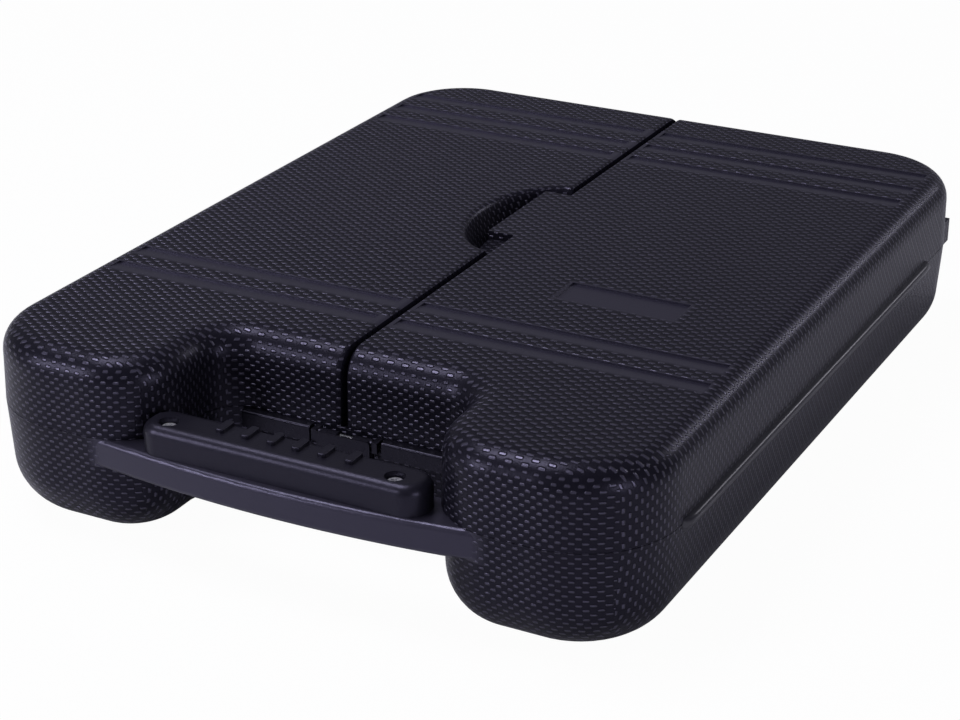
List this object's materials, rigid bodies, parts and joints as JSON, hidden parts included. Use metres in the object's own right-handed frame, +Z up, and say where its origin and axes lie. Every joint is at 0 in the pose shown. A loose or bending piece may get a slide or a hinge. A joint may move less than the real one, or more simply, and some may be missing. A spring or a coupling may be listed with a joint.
{
  "type": "socket wrench set in case",
  "caption": "Moulded carry case with two gull-wing lids, a front handle and a latch, holding ratchets, sockets, extensions and bits in a fitted tray.",
  "frame": {"origin": "under the middle of the closed case, on the surface it stands on", "axes": "+X right, +Y towards the rear wall, -Y towards the carry handle, +Z up"},
  "size_m": [0.3218, 0.424, 0.0836],
  "materials": {
    "case_plastic": "moulded, fine raised grain",
    "case_hinge": "satin",
    "inner_plastic": "satin",
    "smooth_plastic": "satin",
    "bright_steel": "bright",
    "chrome": "polished",
    "bit_steel": "satin",
    "bit_holder_plastic": "satin",
    "grip_rubber": "soft touch",
    "black_rubber": "matt"
  },
  "bodies": {
    "case": {"base_shell": "case_plastic", "bit_holder": "bit_holder_plastic", "bits": "bit_steel", "half_deep_sockets": "chrome", "half_extension_long": "chrome", "half_extension_short": "chrome", "half_joint_yoke_front": "chrome", "half_ratchet_body": "chrome", "half_ratchet_cover": "chrome", "half_ratchet_grip": "grip_rubber", "half_socket_10mm": "chrome", "half_socket_11mm": "chrome", "half_socket_12mm": "chrome", "half_socket_13mm": "chrome", "half_socket_14mm": "chrome", "half_socket_15mm": "chrome", "half_socket_16mm": "chrome", "half_socket_17mm": "chrome", "half_socket_18mm": "chrome", "half_socket_19mm": "chrome", "half_socket_21mm": "chrome", "half_socket_22mm": "chrome", "handle_grip": "smooth_plastic", "handle_screws": "bright_steel", "hinge_strip_left": "case_hinge", "hinge_strip_right": "case_hinge", "latch_frame": "smooth_plastic", "latch_pin": "bright_steel", "latch_spring": "bright_steel", "quarter_extension_long": "chrome", "quarter_extension_short": "chrome", "quarter_joint_yoke_front": "chrome", "quarter_ratchet_body": "chrome", "quarter_ratchet_cover": "chrome", "quarter_ratchet_grip": "grip_rubber", "quarter_sockets": "chrome", "rear_bumpers": "case_plastic", "spark_plug_insert": "black_rubber", "spark_plug_socket": "chrome", "spinner_grip": "grip_rubber", "spinner_shank": "chrome", "t_bar": "chrome", "tray_left": "inner_plastic", "tray_right": "inner_plastic"},
    "lid_left": {"lid_left_shell": "case_plastic", "lid_left_liner": "inner_plastic"},
    "lid_right": {"lid_right_shell": "case_plastic", "lid_right_liner": "inner_plastic"},
    "latch_flap": {"latch_flap": "smooth_plastic"},
    "half_drive": {"half_ratchet_gear": "chrome"},
    "half_button": {"half_ratchet_button": "bright_steel"},
    "half_lever": {"half_ratchet_lever": "smooth_plastic"},
    "quarter_drive": {"quarter_ratchet_gear": "chrome"},
    "quarter_button": {"quarter_ratchet_button": "bright_steel"},
    "quarter_lever": {"quarter_ratchet_lever": "smooth_plastic"},
    "half_cross": {"half_joint_cross": "chrome"},
    "half_yoke": {"half_joint_yoke_rear": "chrome"},
    "quarter_cross": {"quarter_joint_cross": "chrome"},
    "quarter_yoke": {"quarter_joint_yoke_rear": "chrome"},
    "slider": {"t_bar_slider": "chrome"}
  },
  "joints": [
    {"name": "lid_left_hinge", "type": "hinge", "parent": "case", "child": "lid_left", "pos_m": [-0.158, 0, 0.0493], "axis": [0, -1, 0], "range_deg": [0, 180]},
    {"name": "lid_right_hinge", "type": "hinge", "parent": "case", "child": "lid_right", "pos_m": [0.158, 0, 0.0493], "axis": [0, 1, 0], "range_deg": [0, 180]},
    {"name": "latch_flap_hinge", "type": "hinge", "parent": "case", "child": "latch_flap", "pos_m": [0, -0.1522, 0.0459], "axis": [-1, 0, 0], "range_deg": [0, 50], "stiffness_Nm_per_rad": 0.02},
    {"name": "half_drive_turn", "type": "hinge", "parent": "case", "child": "half_drive", "pos_m": [-0.12, 0.041, 0.045], "axis": [0, 0, 1], "continuous": true},
    {"name": "half_button_press", "type": "slide", "parent": "half_drive", "child": "half_button", "axis": [0, 0, -1], "range_m": [0, 0.0022], "stiffness_N_per_m": 400},
    {"name": "half_lever_turn", "type": "hinge", "parent": "case", "child": "half_lever", "pos_m": [-0.12, 0.02798, 0.057], "axis": [0, 0, 1], "range_deg": [0, 40]},
    {"name": "quarter_drive_turn", "type": "hinge", "parent": "case", "child": "quarter_drive", "pos_m": [0.128, -0.051, 0.045], "axis": [0, 0, 1], "continuous": true},
    {"name": "quarter_button_press", "type": "slide", "parent": "quarter_drive", "child": "quarter_button", "axis": [0, 0, -1], "range_m": [0, 0.0016], "stiffness_N_per_m": 300},
    {"name": "quarter_lever_turn", "type": "hinge", "parent": "case", "child": "quarter_lever", "pos_m": [0.128, -0.05906, 0.0525], "axis": [0, 0, 1], "range_deg": [0, 40]},
    {"name": "half_joint_swing", "type": "hinge", "parent": "case", "child": "half_cross", "pos_m": [-0.0327, -0.10601, 0.045], "axis": [0, 0, 1], "range_deg": [-9, 9]},
    {"name": "half_joint_tilt", "type": "hinge", "parent": "half_cross", "child": "half_yoke", "pos_m": [-0.0327, -0.10601, 0.045], "axis": [1, 0, 0], "range_deg": [0, 25]},
    {"name": "quarter_joint_swing", "type": "hinge", "parent": "case", "child": "quarter_cross", "pos_m": [0.049, -0.12221, 0.045], "axis": [0, 0, 1], "range_deg": [-9, 9]},
    {"name": "quarter_joint_tilt", "type": "hinge", "parent": "quarter_cross", "child": "quarter_yoke", "pos_m": [0.049, -0.12221, 0.045], "axis": [1, 0, 0], "range_deg": [0, 25]},
    {"name": "t_bar_slide", "type": "slide", "parent": "case", "child": "slider", "axis": [0, 1, 0], "range_m": [-0.085, 0.085]}
  ]
}
